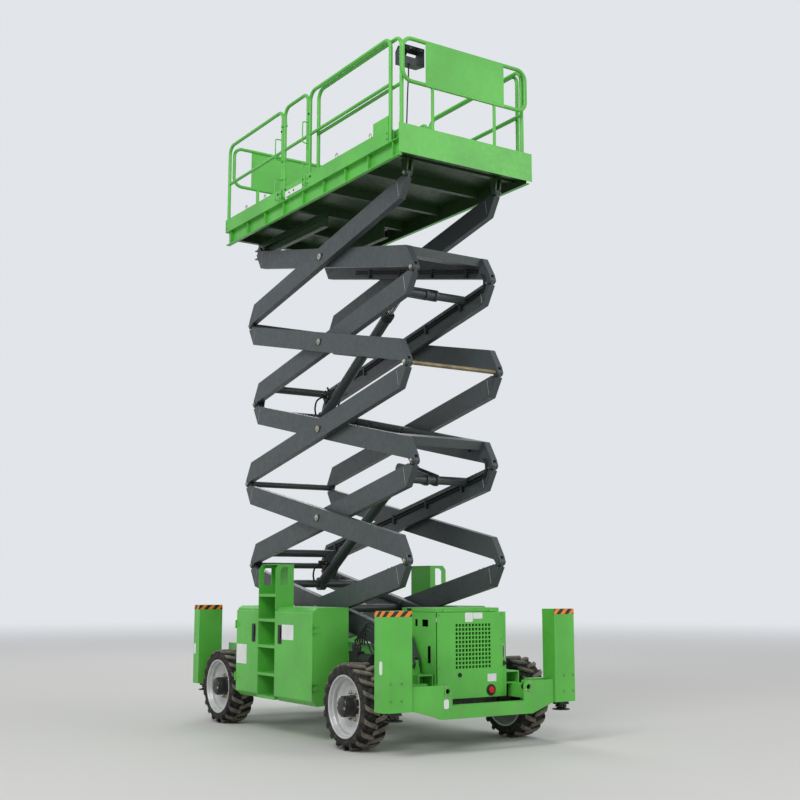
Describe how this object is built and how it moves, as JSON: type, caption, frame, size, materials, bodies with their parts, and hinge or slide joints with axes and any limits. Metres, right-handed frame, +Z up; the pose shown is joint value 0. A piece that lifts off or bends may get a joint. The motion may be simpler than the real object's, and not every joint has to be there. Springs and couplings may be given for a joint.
{
  "type": "rough-terrain scissor lift",
  "caption": "Self-propelled scissor lift with a five-stage crossed-arm stack, four lugged tyres, outriggers, side ladders and a railed platform with a roll-out deck",
  "frame": {"origin": "On the ground under the middle of the machine's bounding box", "axes": "+X towards the end with the engine box, +Y to the machine's right-hand ladder side away from the gate, +Z up"},
  "size_m": [4.52, 2.312, 7.1807],
  "materials": {
    "green_paint": "gloss",
    "arm_paint": "satin",
    "tyre": "matte",
    "rim_paint": "satin",
    "hub_paint": "satin",
    "dark_steel": "satin",
    "chrome_rod": "polished",
    "grey_box": "satin",
    "cable": "matte",
    "engine_paint": "matte"
  },
  "bodies": {
    "chassis": {"chassis_frame": "green_paint", "bumpers": "green_paint", "outrigger_housings": "green_paint", "side_boxes": "green_paint", "ladders": "green_paint", "engine_box": "green_paint", "engine_block": "engine_paint", "axle_front": "dark_steel", "axle_rear": "dark_steel"},
    "engine_lid": {"engine_lid": "green_paint"},
    "front_door_left": {"front_door_left": "green_paint"},
    "rear_door_left": {"rear_door_left": "green_paint"},
    "steering_left": {"knuckle_left": "dark_steel"},
    "wheel_front_left": {"tyre_front_left": "tyre", "rim_front_left": "rim_paint", "hub_front_left": "hub_paint"},
    "leg_front_left": {"outrigger_leg_front_left": "dark_steel"},
    "wheel_rear_left": {"tyre_rear_left": "tyre", "rim_rear_left": "rim_paint", "hub_rear_left": "hub_paint"},
    "leg_rear_left": {"outrigger_leg_rear_left": "dark_steel"},
    "front_door_right": {"front_door_right": "green_paint"},
    "rear_door_right": {"rear_door_right": "green_paint"},
    "steering_right": {"knuckle_right": "dark_steel"},
    "wheel_front_right": {"tyre_front_right": "tyre", "rim_front_right": "rim_paint", "hub_front_right": "hub_paint"},
    "leg_front_right": {"outrigger_leg_front_right": "dark_steel"},
    "wheel_rear_right": {"tyre_rear_right": "tyre", "rim_rear_right": "rim_paint", "hub_rear_right": "hub_paint"},
    "leg_rear_right": {"outrigger_leg_rear_right": "dark_steel"},
    "inner_1": {"inner_arms_1": "arm_paint"},
    "outer_1": {"outer_arms_1": "arm_paint"},
    "inner_2": {"inner_arms_2": "arm_paint"},
    "outer_2": {"outer_arms_2": "arm_paint"},
    "inner_3": {"inner_arms_3": "arm_paint"},
    "outer_3": {"outer_arms_3": "arm_paint"},
    "inner_4": {"inner_arms_4": "arm_paint"},
    "outer_4": {"outer_arms_4": "arm_paint"},
    "inner_5": {"inner_arms_5": "arm_paint"},
    "outer_5": {"outer_arms_5": "arm_paint"},
    "platform": {"platform_frame": "green_paint", "toe_boards": "green_paint", "guard_rails": "green_paint", "rear_rail": "green_paint"},
    "barrel_lower": {"lift_barrel_lower": "arm_paint"},
    "rod_lower": {"lift_rod_lower": "chrome_rod"},
    "barrel_upper": {"lift_barrel_upper": "arm_paint"},
    "rod_upper": {"lift_rod_upper": "chrome_rod"},
    "gate": {"gate": "green_paint"},
    "extension": {"extension_deck": "green_paint", "extension_rails": "green_paint", "control_box": "grey_box", "control_cable": "cable"}
  },
  "joints": [
    {"name": "lid_tilt", "type": "hinge", "parent": "chassis", "child": "engine_lid", "pos_m": [1.966, 0, 1.3153], "axis": [0, 1, 0], "range_deg": [0, 80]},
    {"name": "front_door_left_swing", "type": "hinge", "parent": "chassis", "child": "front_door_left", "pos_m": [0.815, -1.128, 0.85], "axis": [0, 0, 1], "range_deg": [0, 110]},
    {"name": "rear_door_left_swing", "type": "hinge", "parent": "chassis", "child": "rear_door_left", "pos_m": [-0.939, -1.128, 0.85], "axis": [0, 0, 1], "range_deg": [-110, 0]},
    {"name": "steer_left", "type": "hinge", "parent": "chassis", "child": "steering_left", "pos_m": [1.42, -0.715, 0.413], "axis": [0, 0, 1], "range_deg": [-25, 25]},
    {"name": "spin_front_left", "type": "hinge", "parent": "steering_left", "child": "wheel_front_left", "pos_m": [1.42, -0.973, 0.413], "axis": [0, 1, 0], "continuous": true},
    {"name": "extend_leg_front_left", "type": "slide", "parent": "chassis", "child": "leg_front_left", "axis": [0, 0, -1], "range_m": [0, 0.32]},
    {"name": "spin_rear_left", "type": "hinge", "parent": "chassis", "child": "wheel_rear_left", "pos_m": [-1.42, -0.973, 0.413], "axis": [0, 1, 0], "continuous": true},
    {"name": "extend_leg_rear_left", "type": "slide", "parent": "chassis", "child": "leg_rear_left", "axis": [0, 0, -1], "range_m": [0, 0.32]},
    {"name": "front_door_right_swing", "type": "hinge", "parent": "chassis", "child": "front_door_right", "pos_m": [0.815, 1.128, 0.85], "axis": [0, 0, 1], "range_deg": [-110, 0]},
    {"name": "rear_door_right_swing", "type": "hinge", "parent": "chassis", "child": "rear_door_right", "pos_m": [-0.939, 1.128, 0.85], "axis": [0, 0, 1], "range_deg": [0, 110]},
    {"name": "steer_right", "type": "hinge", "parent": "chassis", "child": "steering_right", "pos_m": [1.42, 0.715, 0.413], "axis": [0, 0, 1], "range_deg": [-25, 25]},
    {"name": "spin_front_right", "type": "hinge", "parent": "steering_right", "child": "wheel_front_right", "pos_m": [1.42, 0.973, 0.413], "axis": [0, 1, 0], "continuous": true},
    {"name": "extend_leg_front_right", "type": "slide", "parent": "chassis", "child": "leg_front_right", "axis": [0, 0, -1], "range_m": [0, 0.32]},
    {"name": "spin_rear_right", "type": "hinge", "parent": "chassis", "child": "wheel_rear_right", "pos_m": [-1.42, 0.973, 0.413], "axis": [0, 1, 0], "continuous": true},
    {"name": "extend_leg_rear_right", "type": "slide", "parent": "chassis", "child": "leg_rear_right", "axis": [0, 0, -1], "range_m": [0, 0.32]},
    {"name": "lift", "type": "hinge", "parent": "chassis", "child": "inner_1", "pos_m": [1.73, 0, 0.814], "axis": [0, 1, 0], "range_deg": [-12, 40]},
    {"name": "cross_fold_1", "type": "hinge", "parent": "inner_1", "child": "outer_1", "pos_m": [-0.02124, 0, 1.30955], "axis": [0, 1, 0], "range_deg": [-80, 24]},
    {"name": "inner_fold_2", "type": "hinge", "parent": "inner_1", "child": "inner_2", "pos_m": [-1.77247, 0, 1.8051], "axis": [0, 1, 0], "range_deg": [-80, 24]},
    {"name": "cross_fold_2", "type": "hinge", "parent": "inner_2", "child": "outer_2", "pos_m": [-0.02124, 0, 2.30065], "axis": [0, 1, 0], "range_deg": [-24, 80]},
    {"name": "inner_fold_3", "type": "hinge", "parent": "inner_2", "child": "inner_3", "pos_m": [1.73, 0, 2.7962], "axis": [0, 1, 0], "range_deg": [-24, 80]},
    {"name": "cross_fold_3", "type": "hinge", "parent": "inner_3", "child": "outer_3", "pos_m": [-0.02124, 0, 3.29175], "axis": [0, 1, 0], "range_deg": [-80, 24]},
    {"name": "inner_fold_4", "type": "hinge", "parent": "inner_3", "child": "inner_4", "pos_m": [-1.77247, 0, 3.7873], "axis": [0, 1, 0], "range_deg": [-80, 24]},
    {"name": "cross_fold_4", "type": "hinge", "parent": "inner_4", "child": "outer_4", "pos_m": [-0.02124, 0, 4.28285], "axis": [0, 1, 0], "range_deg": [-24, 80]},
    {"name": "inner_fold_5", "type": "hinge", "parent": "inner_4", "child": "inner_5", "pos_m": [1.73, 0, 4.7784], "axis": [0, 1, 0], "range_deg": [-24, 80]},
    {"name": "cross_fold_5", "type": "hinge", "parent": "inner_5", "child": "outer_5", "pos_m": [-0.02124, 0, 5.27395], "axis": [0, 1, 0], "range_deg": [-80, 24]},
    {"name": "platform_level", "type": "hinge", "parent": "outer_5", "child": "platform", "pos_m": [1.73, 0, 5.7695], "axis": [0, 1, 0], "range_deg": [-12, 40]},
    {"name": "barrel_tilt_lower", "type": "hinge", "parent": "inner_1", "child": "barrel_lower", "pos_m": [-0.98345, 0, 1.58183], "axis": [0, 1, 0], "range_deg": [-83.72, 25.12]},
    {"name": "rod_reach_lower", "type": "slide", "parent": "barrel_lower", "child": "rod_lower", "axis": [0.8248, 0, 0.5654], "range_m": [-0.28033, 0.9342]},
    {"name": "barrel_tilt_upper", "type": "hinge", "parent": "inner_3", "child": "barrel_upper", "pos_m": [-0.98345, 0, 3.56403], "axis": [0, 1, 0], "range_deg": [-83.72, 25.12]},
    {"name": "rod_reach_upper", "type": "slide", "parent": "barrel_upper", "child": "rod_upper", "axis": [0.8248, 0, 0.5654], "range_m": [-0.28033, 0.9342]},
    {"name": "gate_swing", "type": "hinge", "parent": "platform", "child": "gate", "pos_m": [-0.495, -0.83, 6.6], "axis": [0, 0, 1], "range_deg": [0, 90]},
    {"name": "extension_slide", "type": "slide", "parent": "platform", "child": "extension", "axis": [1, 0, 0], "range_m": [0, 1.4]}
  ],
  "couplings": [
    {"joint": "steer_right", "follows": "steer_left", "ratio": 1},
    {"joint": "cross_fold_1", "follows": "lift", "ratio": -2},
    {"joint": "inner_fold_2", "follows": "lift", "ratio": -2},
    {"joint": "cross_fold_2", "follows": "lift", "ratio": 2},
    {"joint": "inner_fold_3", "follows": "lift", "ratio": 2},
    {"joint": "cross_fold_3", "follows": "lift", "ratio": -2},
    {"joint": "inner_fold_4", "follows": "lift", "ratio": -2},
    {"joint": "cross_fold_4", "follows": "lift", "ratio": 2},
    {"joint": "inner_fold_5", "follows": "lift", "ratio": 2},
    {"joint": "cross_fold_5", "follows": "lift", "ratio": -2},
    {"joint": "platform_level", "follows": "lift", "ratio": 1},
    {"joint": "barrel_tilt_lower", "follows": "lift", "ratio": -2.0931},
    {"joint": "rod_reach_lower", "follows": "lift", "m_per_rad": 1.338},
    {"joint": "barrel_tilt_upper", "follows": "lift", "ratio": -2.0931},
    {"joint": "rod_reach_upper", "follows": "lift", "m_per_rad": 1.338}
  ]
}
